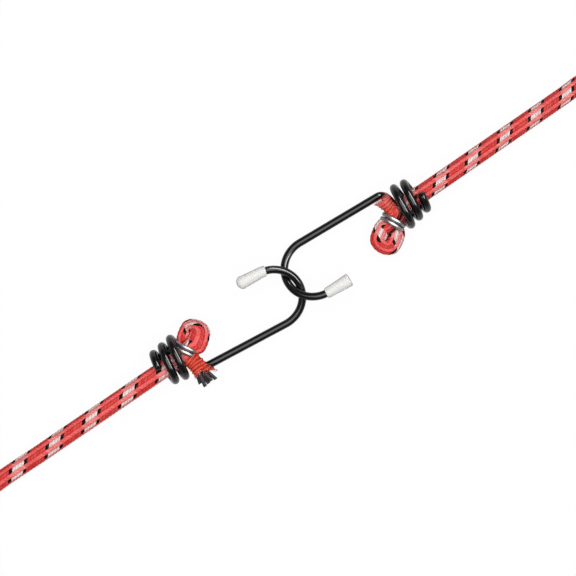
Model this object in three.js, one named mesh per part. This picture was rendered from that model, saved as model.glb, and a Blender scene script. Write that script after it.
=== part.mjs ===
// A bungee cord hooked to itself: one braided elastic cord with a wire hook at each end.
// Lengths are in millimetres and angles in degrees. +X is to the right, +Y is away from a
// person who looks down on the cord, and +Z is up. The floor is at z = 0, and the origin lies
// under the place where the two hooks hold each other.

import * as THREE from 'three';

// Driving dimensions of the cord
const cordDiameter = 8;
const sheathWall = 0.5;
const strandCount = 6;                // strands round the middle one
const strandGap = 0.3;
const cordSides = 12;
const strandSides = 6;
const sectionGap = 0.3;               // between two sections that meet face to face

// Driving dimensions of the hook
const wireDiameter = 3.6;
const wireSides = 8;
const coilStart = -70.95;             // where the wire begins, along the pull line
const coilPitch = 4.95;
const coilStartRadius = 7.3;
const coilEndRadius = 9.5;
const coilEndAngle = 942;             // from the front of the coil, in degrees
const coilStepAngle = 20;
const coilLean = 0.045;               // the turns lean by this slope
const hookTilt = 20;                  // each hook turned about the pull line, tip towards the eye
const cornerLength = 4.2;             // from the coil to the straight shank
const cornerHandle = 3;
const cornerSteps = 6;
const shankOffset = 10.65;            // of the shank's first point from the pull line
const bendRadius = 13.7;
const linkReach = 2;                  // of each bend's middle line past the link
const bendCentreY = -0.8;
const bendSteps = 14;
const limbLength = 8.7;               // straight end of the wire, most of it in the tip

// Driving dimensions of the plastic tip
const tipLength = 14;
const tipMouthDiameter = 4.9;
const tipEndDiameter = 6.2;
const tipFit = 0.2;
const tipFloor = 2.4;                 // solid plastic past the end of the wire
const tipRounding = 1.9;
const tipSides = 12;
const tipSteps = 4;
const tipRoundingSteps = 4;

// Driving dimensions of the clip
const clipWire = 1.75;
const clipPitch = 2.1;
const clipTurns = 1.6;
const clipHalfHeight = 4.5;           // inside, across the neck
const clipHalfDepth = 5.9;            // inside, towards the eye
const clipSteps = 18;
const clipSides = 6;

// Driving dimensions of the folded end of the cord
const squeezedWidthShare = 0.41;      // of the cord's own width, inside the clip
const squeezedDepthShare = 0.64;
const squeezeReach = 3.1;             // either way from the clip's middle
const foldWidthShare = 0.9;           // of the cord's own width, round the fold
const tailWidthShare = 0.9;
const tailDepthShare = 0.8;
const tailHeight = 3.2;
const stackDepth = 2.75;              // of each strand of the cord behind or before the neck
const foldRadius = 3.95;
const foldSteps = 8;
const knotStep = 2.9;
const coilStep = 8;
const bareSteps = 3;

// The pull line and the two ends of the cord, each in its own frame: x runs along the pull
// line from the coil to the hooks, y across it on the tip's side, z up. The shares are of the
// cord's diameter: coilShift is how far this hook's coil stands ahead, tipShift how far the tip
// stands off from home, leg the cord's place across the pull line inside the coil, clipAhead and
// clipSide the clip's from the coil's last turn, reach the fold's from the clip, and tailTop and
// tailEnd those of the tail from the clip.
const pullAngle = 34.3;
const pullHeight = coilEndRadius + wireDiameter / 2;
const knotEnd = -84;                  // where the folded end of the cord meets its free run

const ends = [
  {
    name: 'left',
    turnAngle: 0,
    hookYawAngle: -1.46,
    hookShiftShare: 0,
    coilShiftShare: -0.1125,
    tipShiftShare: 0,
    legShare: 0.1125,
    clipAheadShare: 0.3625,
    clipSideShare: 0.225,
    neckAngle: 34,
    reachShare: 0.8625,
    tailTopShares: [-0.275, -0.7125],
    tailTopWidthShare: 0.55,
    tailEndShares: [-0.1, -1.3875],
    bareShare: 0.85,
    bareSpreadShare: 1.35
  },
  {
    name: 'right',
    turnAngle: 180,
    hookYawAngle: 1.44,
    hookShiftShare: 0.05,
    coilShiftShare: 0.1125,
    tipShiftShare: 0.225,
    legShare: -0.1,
    clipAheadShare: 0.59,
    clipSideShare: 0.3125,
    neckAngle: 30,
    reachShare: 0.9875,
    tailTopShares: [-0.3, -0.725],
    tailTopWidthShare: 0.64,
    tailEndShares: [-0.15, -1.275],
    bareShare: 0,
    bareSpreadShare: 1
  }
];

// The free cord's route along its middle, from the left end round to the right end. It lies on
// the floor past the first and the last leg. Its points are chosen by hand.
const cordRadius = cordDiameter / 2;
const floorHeight = cordRadius * Math.cos(Math.PI / cordSides);
const cordRoute = [
  [-86, -57.6, 10.6],
  [-112, -75.3, 7.4],
  [-137.6, -93.1, floorHeight],
  [-146, -102.4, floorHeight],
  [-149.2, -115, floorHeight],
  [-145.7, -128.2, floorHeight],
  [-136, -138, floorHeight],
  [-122.7, -141.5, floorHeight],
  [-104, -141.5, floorHeight],
  [-12, -141.5, floorHeight],
  [80, -141.5, floorHeight],
  [100, -141.5, floorHeight],
  [117, -141.5, floorHeight],
  [127, -138.8, floorHeight],
  [134.3, -131.5, floorHeight],
  [136.9, -123.7, floorHeight],
  [139.3, -106, floorHeight],
  [150.1, -25.4, floorHeight],
  [159.9, 48, floorHeight],
  [163.3, 73, floorHeight],
  [161.5, 83.7, floorHeight],
  [154.9, 91.6, floorHeight],
  [145.1, 95.1, 3.9],
  [132, 91.6, 4],
  [122.5, 85, 4.7],
  [106, 73.6, 7.2],
  [85, 59.1, 10.4]
];
// The route's sections, and how many of its rows each one takes; the last takes the rest
const sectionNames = ['leg_left', 'run_bottom', 'far_bend', 'run_right', 'leg_right'];
const sectionRowCounts = [9, 2, 6, 2];
const turnStepAngle = 18;
const straightStepShare = 3;          // of the cord's diameter
const straightStep = cordDiameter * straightStepShare;

const fullTurn = 360;
const up = new THREE.Vector3(0, 0, 1);
const radians = THREE.MathUtils.degToRad;
const wireRadius = wireDiameter / 2;
const sheathBore = cordRadius - sheathWall;
const strandRadius = (sheathBore - 2 * strandGap) / 3;
const strandPitch = 2 * strandRadius + strandGap;

// Materials
function finish(color, roughness, metalness) {
  return new THREE.MeshStandardMaterial({ color, roughness, metalness });
}
const looks = {
  wire: finish(0x16161a, 0.25, 0.6),
  tip: finish(0xf0efec, 0.45, 0),
  clip: finish(0xb9bbbd, 0.3, 1),
  sheath: finish(0xc8323a, 0.8, 0),
  rubber: finish(0x2a2a2e, 0.9, 0)
};

const model = new THREE.Group();

function addMesh(parent, name, geometry, material) {
  const mesh = new THREE.Mesh(geometry, material);
  mesh.name = name;
  parent.add(mesh);
}

// One closed body from rings of points. A looped body joins its last ring to its first, and
// any other is closed by a fan at each end.
function bodyFromRings(rings, looped) {
  const sides = rings[0].length;
  const places = rings.flat();
  const faces = [];
  const last = looped ? rings.length : rings.length - 1;
  for (let i = 0; i < last; i += 1) {
    const here = i * sides;
    const next = ((i + 1) % rings.length) * sides;
    for (let j = 0; j < sides; j += 1) {
      const k = (j + 1) % sides;
      faces.push(here + j, here + k, next + j);
      faces.push(here + k, next + k, next + j);
    }
  }
  if (!looped) {
    const top = (rings.length - 1) * sides;
    places.push(middleOf(rings[0]), middleOf(rings[rings.length - 1]));
    for (let j = 0; j < sides; j += 1) {
      const k = (j + 1) % sides;
      faces.push(places.length - 2, k, j);
      faces.push(places.length - 1, top + j, top + k);
    }
  }
  const geometry = new THREE.BufferGeometry();
  const numbers = places.flatMap((place) => place.toArray());
  geometry.setAttribute('position', new THREE.Float32BufferAttribute(numbers, 3));
  geometry.setIndex(faces);
  geometry.computeVertexNormals();
  return geometry;
}

function middleOf(ring) {
  const sum = new THREE.Vector3();
  ring.forEach((p) => sum.add(p));
  return sum.divideScalar(ring.length);
}

// A station is a place on a path with its three directions and the shares of the section
function stationsOf(rows, firstSide) {
  const stations = rows.map((row, i) => {
    const before = rows[Math.max(i - 1, 0)].place;
    const after = rows[Math.min(i + 1, rows.length - 1)].place;
    const along = row.along ? row.along.clone() : after.clone().sub(before);
    return { wide: 1, deep: 1, spread: 1, ...row, along: along.normalize() };
  });
  let side = firstSide;
  stations.forEach((station) => {
    if (firstSide) {
      side = side.clone().addScaledVector(station.along, -side.dot(station.along)).normalize();
    } else {
      side = new THREE.Vector3().crossVectors(up, station.along).normalize();
    }
    station.side = side;
    station.rise = new THREE.Vector3().crossVectors(station.along, side);
  });
  return stations;
}

// A ring of a round section whose middle lies at (a, b) across the station
function ringAt(station, radius, sides, a = 0, b = 0) {
  const ring = [];
  for (let j = 0; j < sides; j += 1) {
    const angle = ((j + 0.5) / sides) * 2 * Math.PI;
    const across = (a * station.spread + radius * Math.cos(angle)) * station.wide;
    const high = (b * station.spread + radius * Math.sin(angle)) * station.deep;
    const middle = station.place.clone();
    ring.push(middle.addScaledVector(station.side, across).addScaledVector(station.rise, high));
  }
  return ring;
}

function tube(stations, radius, bore, sides) {
  const outer = stations.map((station) => ringAt(station, radius, sides));
  const inner = stations.map((station) => ringAt(station, bore, sides)).reverse();
  return bodyFromRings(outer.concat(inner), true);
}

function rod(stations, radius, sides, a, b) {
  return bodyFromRings(stations.map((station) => ringAt(station, radius, sides, a, b)), false);
}

// Least gap of a wound wire to itself, measured on the points of its middle line
function leastGap(places, diameter, apart) {
  let least = Infinity;
  for (let i = 0; i < places.length; i += 1) {
    for (let j = i + 1; j < places.length; j += 1) {
      if (lengthBetween(places, i, j) > apart) {
        least = Math.min(least, places[i].distanceTo(places[j]) - diameter);
      }
    }
  }
  return least;
}

function lengthBetween(places, i, j) {
  let sum = 0;
  for (let k = i; k < j; k += 1) sum += places[k].distanceTo(places[k + 1]);
  return sum;
}

// The hook: one wire, wound as a coil that widens towards the shank, then the shank, the bend
// and the straight limb that the tip is pushed on
const coilFirstAngle = hookTilt;

function coilPlace(end, angle) {
  const share = (angle - coilFirstAngle) / (coilEndAngle - coilFirstAngle);
  const radius = THREE.MathUtils.lerp(coilStartRadius, coilEndRadius, share);
  const y = radius * Math.sin(radians(angle));
  const ahead = coilStart + end.coilShiftShare * cordDiameter;
  const x = ahead + (coilPitch * (angle - coilFirstAngle)) / fullTurn + coilLean * y;
  return new THREE.Vector3(x, y, radius * Math.cos(radians(angle)));
}

function coilPlaces(end) {
  const steps = Math.round((coilEndAngle - coilFirstAngle) / coilStepAngle);
  const places = [];
  for (let i = 0; i <= steps; i += 1) {
    places.push(coilPlace(end, THREE.MathUtils.lerp(coilFirstAngle, coilEndAngle, i / steps)));
  }
  return places;
}

// The straight shank touches the bend's circle and starts beside the coil's last turn
function shankFrame(end) {
  const start = new THREE.Vector3(coilPlace(end, coilEndAngle).x + cornerLength, -shankOffset, 0);
  const centre = new THREE.Vector3(linkReach - bendRadius, bendCentreY, 0);
  const reach = centre.clone().sub(start);
  const angle = Math.atan2(reach.y, reach.x) - Math.asin(bendRadius / reach.length());
  return { start, centre, angle };
}

function hookPlaces(end) {
  const coil = coilPlaces(end);
  const { start, centre, angle } = shankFrame(end);
  const shank = new THREE.Vector3(Math.cos(angle), Math.sin(angle), 0);
  const leaving = coil[coil.length - 1].clone().sub(coil[coil.length - 2]).normalize();
  const corner = new THREE.CubicBezierCurve3(
    coil[coil.length - 1],
    coil[coil.length - 1].clone().addScaledVector(leaving, cornerHandle),
    start.clone().addScaledVector(shank, -cornerHandle),
    start
  );
  const bend = [];
  for (let i = 0; i <= bendSteps; i += 1) {
    const around = angle - Math.PI / 2 + (Math.PI * i) / bendSteps;
    const spoke = new THREE.Vector3(Math.cos(around), Math.sin(around), 0);
    bend.push(spoke.multiplyScalar(bendRadius).add(centre));
  }
  const wireEnd = bend[bendSteps].clone().addScaledVector(shank, -limbLength);
  const cornerPlaces = corner.getPoints(cornerSteps).slice(1);
  return [...coil, ...cornerPlaces, ...bend, wireEnd];
}

function hookGeometry(end) {
  const rows = hookPlaces(end).map((place) => ({ place }));
  return rod(stationsOf(rows, new THREE.Vector3(0, 1, 0)), wireRadius, wireSides);
}

// A place on the hook's middle line, by its distance back from the end of the wire
function fromWireEnd(end, distance) {
  const { centre, angle } = shankFrame(end);
  const around = angle + Math.PI / 2 - Math.max(distance - limbLength, 0) / bendRadius;
  const spoke = new THREE.Vector3(Math.cos(around), Math.sin(around), 0);
  const along = new THREE.Vector3(-spoke.y, spoke.x, 0);
  const place = spoke.multiplyScalar(bendRadius).add(centre);
  return { place: place.addScaledVector(along, Math.max(limbLength - distance, 0)), along };
}

// The plastic tip: a cap that widens towards its rounded end, with a bore for the wire. It isn't
// always pushed fully home.
function tipGeometry(end) {
  const shift = end.tipShiftShare * cordDiameter;
  const mouth = tipLength - tipFloor - tipFit - shift;
  const rows = [];
  for (let i = 0; i <= tipSteps; i += 1) {
    rows.push(fromWireEnd(end, THREE.MathUtils.lerp(mouth, -tipFit - shift, i / tipSteps)));
  }
  const bore = stationsOf(rows, up).reverse();
  const shellRows = [...rows];
  for (let i = 0; i <= tipRoundingSteps; i += 1) {
    const turn = (i / tipRoundingSteps) * (Math.PI / 2);
    const row = fromWireEnd(end, tipRounding * (1 - Math.sin(turn)) - tipFit - tipFloor - shift);
    shellRows.push({ ...row, cut: tipRounding * (1 - Math.cos(turn)) });
  }
  const shell = stationsOf(shellRows, up);
  const rings = bore.map((station) => ringAt(station, wireRadius + tipFit, tipSides));
  let gone = 0;
  shell.forEach((station, i) => {
    if (i > 0) gone += station.place.distanceTo(shell[i - 1].place);
    const diameter = THREE.MathUtils.lerp(tipMouthDiameter, tipEndDiameter, gone / tipLength);
    rings.push(ringAt(station, diameter / 2 - (station.cut ?? 0), tipSides));
  });
  return bodyFromRings(rings, false);
}

// The clip: a wire wound round the folded cord's neck, with flat sides
function clipPlaces(end) {
  const neck = neckFrame(end);
  const height = clipHalfHeight + clipWire / 2;
  const flat = clipHalfDepth - clipHalfHeight;
  const steps = Math.round(clipTurns * clipSteps);
  const places = [];
  for (let i = 0; i <= steps; i += 1) {
    const turn = (i / clipSteps - clipTurns / 2) * 2 * Math.PI + Math.PI;
    const across = height * Math.sin(turn);
    const high = height * Math.cos(turn) + flat * THREE.MathUtils.clamp(2 * Math.cos(turn), -1, 1);
    const along = clipPitch * (i / clipSteps - clipTurns / 2);
    places.push(
      neck.place.clone()
        .addScaledVector(neck.along, along)
        .addScaledVector(neck.across, across)
        .addScaledVector(up, high)
    );
  }
  return places;
}

function clipGeometry(end) {
  const rows = clipPlaces(end).map((place) => ({ place }));
  return rod(stationsOf(rows, neckFrame(end).along), clipWire / 2, clipSides);
}

// Where the folded end of the cord meets its free run
function knotExit(end) {
  return new THREE.Vector3(knotEnd, end.legShare * cordDiameter, 0);
}

// The neck of the folded end: where the clip holds the two strands of the cord together
function neckFrame(end) {
  const along = new THREE.Vector3(Math.cos(radians(end.neckAngle)), Math.sin(radians(end.neckAngle)), 0);
  const ahead = coilPlace(end, coilEndAngle).x + end.clipAheadShare * cordDiameter;
  return {
    place: new THREE.Vector3(ahead, end.clipSideShare * cordDiameter, 0),
    along,
    across: new THREE.Vector3(-along.y, along.x, 0)
  };
}

// The folded end's path from the cut tail, in front through the clip, round the fold, back
// behind through the clip, and along inside the coil to the free cord
function knotRows(end) {
  const neck = neckFrame(end);
  const reach = end.reachShare * cordDiameter;
  const fold = neck.place.clone().addScaledVector(neck.along, reach);
  const spreadAngle = Math.asin(foldRadius / reach);
  const tangent = Math.PI / 2 + spreadAngle;
  const squeezed = (direction, along, high) => ({
    place: neck.place.clone().addScaledVector(direction, along).addScaledVector(up, high),
    wide: squeezedWidthShare,
    deep: squeezedDepthShare
  });
  const heading = (angle) => new THREE.Vector3(Math.cos(angle), Math.sin(angle), 0);
  const intoFold = heading(radians(end.neckAngle) + spreadAngle);
  const outOfFold = heading(radians(end.neckAngle) - spreadAngle);
  const tailPlace = ([x, y]) => new THREE.Vector3(x, y, 0)
    .multiplyScalar(cordDiameter)
    .add(neck.place)
    .addScaledVector(up, tailHeight);
  const rows = [
    { place: tailPlace(end.tailEndShares), wide: tailWidthShare, deep: tailDepthShare },
    { place: tailPlace(end.tailTopShares), wide: end.tailTopWidthShare, deep: tailDepthShare },
    squeezed(intoFold, -squeezeReach, stackDepth),
    squeezed(intoFold, squeezeReach, stackDepth)
  ];
  for (let i = 0; i <= foldSteps; i += 1) {
    const share = i / foldSteps;
    const around = radians(end.neckAngle) + tangent * (1 - 2 * share);
    const spoke = new THREE.Vector3(Math.cos(around), Math.sin(around), 0);
    const place = spoke.multiplyScalar(foldRadius).add(fold);
    place.z = stackDepth * (1 - 2 * share);
    rows.push({ place, wide: foldWidthShare, deep: 1 });
  }
  rows.push(squeezed(outOfFold, squeezeReach, -stackDepth));
  rows.push(squeezed(outOfFold, -squeezeReach, -stackDepth));
  const free = knotExit(end);
  const inCoil = new THREE.Vector3(neck.place.x - cordDiameter, free.y, 0);
  rows.push({ place: inCoil, wide: 1, deep: 1 });
  rows.push({ place: inCoil.clone().lerp(free, 0.5), wide: 1, deep: 1 });
  rows.push({ place: free, wide: 1, deep: 1 });
  return rows;
}

// Steps along a smooth curve through the rows, from the first row to the last one named, with
// the rows' shares blended between them
function stepsAlong(rows, first, last, stepFor) {
  const curve = new THREE.CatmullRomCurve3(rows.map((row) => row.place), false, 'centripetal');
  const out = [];
  for (let i = first; i < last; i += 1) {
    const count = stepFor(rows, i);
    for (let k = 0; k < count || (i === last - 1 && k === count); k += 1) {
      const share = k / count;
      const t = (i + share) / (rows.length - 1);
      const smooth = THREE.MathUtils.smoothstep(share, 0, 1);
      out.push({
        place: curve.getPoint(t),
        along: curve.getTangent(t),
        wide: THREE.MathUtils.lerp(rows[i].wide ?? 1, rows[i + 1].wide ?? 1, smooth),
        deep: THREE.MathUtils.lerp(rows[i].deep ?? 1, rows[i + 1].deep ?? 1, smooth)
      });
    }
  }
  return out;
}

function knotStepFor(rows, i) {
  const length = rows[i].place.distanceTo(rows[i + 1].place);
  const inCoil = i >= rows.length - 3;
  return Math.max(1, Math.round(length / (inCoil ? coilStep : knotStep)));
}

// Trim a section's two end faces so that neighbours keep their gap
function trimEnds(stations, first, last) {
  const out = stations.map((station) => ({ ...station, place: station.place.clone() }));
  out[0].place.addScaledVector(out[0].along, first);
  out[out.length - 1].place.addScaledVector(out[out.length - 1].along, -last);
  return out;
}

// The places of the strands in the sheath: one in the middle and a ring round it
const strandPlaces = [[0, 0]];
for (let i = 0; i < strandCount; i += 1) {
  const angle = (i / strandCount) * 2 * Math.PI;
  strandPlaces.push([strandPitch * Math.cos(angle), strandPitch * Math.sin(angle)]);
}

// The bare ends of the strands past the sheath, spread a little
function bareRows(end, first) {
  const rows = [];
  for (let i = bareSteps; i > 0; i -= 1) {
    const share = i / bareSteps;
    rows.push({
      ...first,
      place: first.place.clone().addScaledVector(first.along, -end.bareShare * cordDiameter * share),
      along: first.along,
      spread: THREE.MathUtils.lerp(1, end.bareSpreadShare, share)
    });
  }
  return rows;
}

function addKnot(parent, end) {
  const knot = knotRows(end);
  const rows = stepsAlong(knot, 0, knot.length - 1, knotStepFor);
  const sheath = trimEnds(stationsOf(rows), 0, sectionGap / 2);
  addMesh(parent, `sheath_knot_${end.name}`, tube(sheath, cordRadius, sheathBore, cordSides), looks.sheath);
  const bare = end.bareShare > 0 ? bareRows(end, rows[0]) : [];
  const strands = trimEnds(stationsOf([...bare, ...rows]), bare.length > 0 ? 0 : sectionGap, sectionGap / 2);
  strandPlaces.forEach(([a, b], i) => {
    const name = `strand_${i + 1}_knot_${end.name}`;
    addMesh(parent, name, rod(strands, strandRadius, strandSides, a, b), looks.rubber);
  });
}

// Each end of the cord in its own group: the hook, its tip, the clip and the folded end
function addEnd(end) {
  const group = new THREE.Group();
  group.rotation.z = radians(pullAngle + end.turnAngle);
  group.position.z = pullHeight;
  model.add(group);
  const hook = new THREE.Group();
  hook.position.y = end.hookShiftShare * cordDiameter;
  hook.rotation.order = 'ZYX';
  hook.rotation.z = radians(end.hookYawAngle);
  hook.rotation.x = radians(hookTilt);
  group.add(hook);
  addMesh(hook, `hook_${end.name}`, hookGeometry(end), looks.wire);
  addMesh(hook, `tip_${end.name}`, tipGeometry(end), looks.tip);
  addMesh(group, `clip_${end.name}`, clipGeometry(end), looks.clip);
  addKnot(group, end);
}

// The free cord in sections, each a sheath round a bundle of strands
function freeRows() {
  const leave = (end) => {
    const group = model.children[ends.indexOf(end)];
    group.updateMatrixWorld(true);
    return group.localToWorld(knotExit(end));
  };
  const route = cordRoute.map(([x, y, z]) => ({ place: new THREE.Vector3(x, y, z) }));
  return [{ place: leave(ends[0]) }, ...route, { place: leave(ends[1]) }];
}

function turnAt(rows, i) {
  if (i <= 0 || i >= rows.length - 1) return 0;
  const into = rows[i].place.clone().sub(rows[i - 1].place);
  const out = rows[i + 1].place.clone().sub(rows[i].place);
  return THREE.MathUtils.radToDeg(into.angleTo(out));
}

function freeStepFor(rows, i) {
  const length = rows[i].place.distanceTo(rows[i + 1].place);
  const turn = (turnAt(rows, i) + turnAt(rows, i + 1)) / 2;
  return Math.max(1, Math.round(length / straightStep), Math.round(turn / turnStepAngle));
}

// The bundle's outline: the strands' outer sides, high at a strand and low between two
function bundleRing(station) {
  const high = strandPitch + strandRadius;
  const low = strandPitch * Math.cos(Math.PI / strandCount) + strandRadius / 2;
  const ring = [];
  for (let j = 0; j < 2 * strandCount; j += 1) {
    const angle = (j / (2 * strandCount)) * 2 * Math.PI;
    const radius = j % 2 === 0 ? high : low;
    ring.push(
      station.place.clone()
        .addScaledVector(station.side, radius * Math.cos(angle))
        .addScaledVector(station.rise, radius * Math.sin(angle))
    );
  }
  return ring;
}

function addFreeCord() {
  const rows = freeRows();
  let first = 0;
  sectionNames.forEach((name, i) => {
    const last = i < sectionRowCounts.length ? first + sectionRowCounts[i] : rows.length - 1;
    const steps = stepsAlong(rows, first, last, freeStepFor);
    const stations = trimEnds(stationsOf(steps), sectionGap / 2, sectionGap / 2);
    addMesh(model, `sheath_${name}`, tube(stations, cordRadius, sheathBore, cordSides), looks.sheath);
    addMesh(model, `core_${name}`, bodyFromRings(stations.map(bundleRing), false), looks.rubber);
    first = last;
  });
}

ends.forEach(addEnd);
addFreeCord();

console.log('coil gap', leastGap(coilPlaces(ends[0]), wireDiameter, coilStartRadius * Math.PI).toFixed(2));
console.log('clip gap', leastGap(clipPlaces(ends[0]), clipWire, clipHalfHeight * Math.PI).toFixed(2));

export default model;
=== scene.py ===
"""A bungee cord hooked to itself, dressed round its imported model: the braided sheath, the rubber
strands, the coated wire hooks, their plastic tips and the wound clips.

Lengths are in metres, and the named angles in degrees. +X is to the right, +Y is away from a
person who looks down on the cord, +Z is up, and the floor is at z = 0."""

import math
import random

import bpy
import numpy as np
from mathutils import Matrix


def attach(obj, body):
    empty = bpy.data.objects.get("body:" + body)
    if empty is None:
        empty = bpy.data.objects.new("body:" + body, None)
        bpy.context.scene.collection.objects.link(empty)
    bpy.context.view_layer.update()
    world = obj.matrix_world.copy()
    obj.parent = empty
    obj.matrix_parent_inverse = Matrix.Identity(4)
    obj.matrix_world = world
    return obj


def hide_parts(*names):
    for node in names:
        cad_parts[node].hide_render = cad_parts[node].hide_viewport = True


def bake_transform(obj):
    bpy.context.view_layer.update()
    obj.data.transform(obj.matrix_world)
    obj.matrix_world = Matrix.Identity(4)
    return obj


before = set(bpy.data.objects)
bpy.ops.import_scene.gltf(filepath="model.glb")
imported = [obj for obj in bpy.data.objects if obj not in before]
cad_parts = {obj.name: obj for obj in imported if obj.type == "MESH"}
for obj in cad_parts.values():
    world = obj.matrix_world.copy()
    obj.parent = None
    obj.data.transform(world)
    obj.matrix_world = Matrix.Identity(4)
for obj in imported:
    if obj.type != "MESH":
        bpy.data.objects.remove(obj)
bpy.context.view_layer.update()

# The camera looks straight down, as the photograph does. The link is where the two hooks hold
# each other
METRES_PER_PIXEL = 0.0004507
IMAGE_SIDE = 576
LINK_PIXEL = (293.45, 283.2)
LINK_HEIGHT = 0.0113
CAMERA_HEIGHT = 1.6
CAMERA_SIGHT = 10.0
SENSOR_MILLIMETRES = 36.0

# The cord
CORD_RADIUS = 0.004
CORD_SIDES = 12                       # of the solid cord, which lies on the floor with a flat side
SHEATH_WALL = 0.0005
SECTIONS = ("leg_left", "run_bottom", "far_bend", "run_right", "leg_right")
FLOOR_GAP = 0.00005                   # between the floor and the lowest threads
PATH_POINTS = 400
TABLE_STEPS = 4000

# The braid: lengthwise wales of slanted floats, in rows. The colours repeat after COLOUR_ROWS, with
# white between the two black threads
WALES = 12
WALE_ANGLE = 360 / WALES
COLOUR_ROWS = 12
BLACK_ROWS = (0, 5)
BLACK_REACH = 0.6
ROW_LEFT = 0.00168
ROW_RIGHT = 0.00145
EVEN_STRETCH = 0.12                   # from each end, over which the rows keep their length
FIRST_WALE_LEFT = 27.0
FIRST_WALE_RIGHT = 15.0
FIRST_ROW_LEFT = -1.66
FIRST_ROW_RIGHT = -1.25
FLOAT_SLANT = 0.0015
FLOAT_HEIGHT = 0.00030
FLOAT_SUNK = 0.6                      # share of the height that lies inside the cord's radius
FLOAT_ROUNDNESS = 0.7
FLOAT_END_SHARE = 0.35
FLOAT_END_POWER = 3
GROOVE_DEPTH = 0.00022
GROOVE_POWER = 4
STEPS_PER_ROW = 6
STEPS_PER_WALE = 6
BRAID_SIDES = WALES * STEPS_PER_WALE
BORE_STEPS_PER_ROW = 3

# The rubber strands: one in the middle and a ring of them round it
STRANDS_ROUND = 6
STRAND_GAP = 0.0003
STRAND_RADIUS = (CORD_RADIUS - SHEATH_WALL - 2 * STRAND_GAP) / 3
STRAND_PITCH = 2 * STRAND_RADIUS + STRAND_GAP
STRAND_STEP = 0.0008
STRAND_SIDES = 14
JOIN_INSET = 0.0002
CUT_INSET = 0.0006
BARE_LENGTH = 0.0075
BARE_LEAST = 0.62
CORE_SIDES = 36
CORE_RINGS = 400

# The loose filaments at the cut ends
FILAMENT_LENGTHS = (0.0008, 0.0026)
FILAMENT_TUCK = 0.0004
FILAMENT_INSET = 0.0003
FILAMENT_LEAN = 0.5
FILAMENT_OPENING = 0.5
LOBE_OPENING = 0.35
FILAMENT_RADIUS = 0.00011
FILAMENT_RADII = (0.7, 1.2)
FILAMENT_THINNING = 0.6
FILAMENT_STEPS = 7
FILAMENT_SIDES = 5
YARN_WALE_STEP = 7
YARN_ROW_STEP = 1.7

# The hook
WIRE_RADIUS = 0.0018
COIL_START = -0.07095
COIL_PITCH = 0.00495
COIL_START_RADIUS = 0.0073
COIL_END_RADIUS = 0.0095
HOOK_TILT = 20.0
COIL_END_ANGLE = 942.0
COIL_LEAN = 0.045
CORNER_LENGTH = 0.0042
CORNER_HANDLE = 0.003
SHANK_OFFSET = 0.01065
BEND_RADIUS = 0.0137
LINK_REACH = 0.002
BEND_CENTRE_Y = -0.0008
LIMB_LENGTH = 0.0087
COIL_STEPS = 160
COIL_CHORD = 20.0
CORNER_STEPS = 16
BEND_STEPS = 48
WIRE_SIDES = 24

# A rod's ends are drawn in: how far its last rings lie from the end, and their radii, as shares
# of the rod's own radius
ROD_END_STEPS = np.array((0.0, 0.3, 1.0))
ROD_END_SHARES = np.array((0.65, 0.92, 1.0))

# The plastic tip
TIP_MOUTH_RADIUS = 0.00245
TIP_END_RADIUS = 0.0031
TIP_FIT = 0.0002
TIP_FLOOR = 0.0024
TIP_SIDES = 40
TIP_LIP_STEPS = 7
TIP_SIDE_STEPS = 16
TIP_END_STEPS = 9
TIP_CROWN = 0.0001
TIP_CROWN_RING = 0.00008
TIP_CROWN_SHARE = 0.5

# The clip
CLIP_WIRE_RADIUS = 0.00095
CLIP_PITCH = 0.0021
CLIP_TURNS = 1.6
CLIP_HALF_DEPTH = 0.0059
CLIP_SQUARENESS = 1.8
CLIP_STEPS = 120
CLIP_SIDES = 16

# The folded ends of the cord. The shares are of the cord's own width and depth
SQUEEZE_REACH = 0.0021                # either way from the clip's middle
SWELL_REACH = 0.0042                  # from the clip's middle to where the cord is full again
SWELL_STACK = 0.92                    # share of fold_over there
FOLD_SHARES = (0.9, 0.95)
FOLD_STEPS = 8
TAIL_WIDTH = 0.88
TAIL_DEPTH = 0.8
TAIL_HEIGHT = 0.0032
KNOT_STEPS_PER_ROW = 12
KNOT_END = -0.084                     # where the folded end meets the free cord
TWIST_START = 0.011                   # from that place back into the folded end
TWIST_LENGTH = 0.012
SLANT_FADE = 1.5                      # slants from the cut to where the rings have their full slant
LOBE_REACH = 1.6                      # share of the lobe
PLEAT_LENGTH = 0.0015
PLEAT_HEIGHT = 0.0004
PLEAT_WANDER = 0.12
PLEAT_TURN = 0.7
PLEAT_ROUNDNESS = 0.8
PLEAT_FADE = 0.003
PLEAT_FLATTENS = 0.9
CREASE_STEP = 0.0008
CREASE_APART = 0.011                  # the least length of cord between two stretches that touch
CREASE_REACH = 0.0011

# The pull line through the two hooks
PULL_ANGLE = 34.3
PULL_HEIGHT = COIL_END_RADIUS + WIRE_RADIUS

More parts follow.
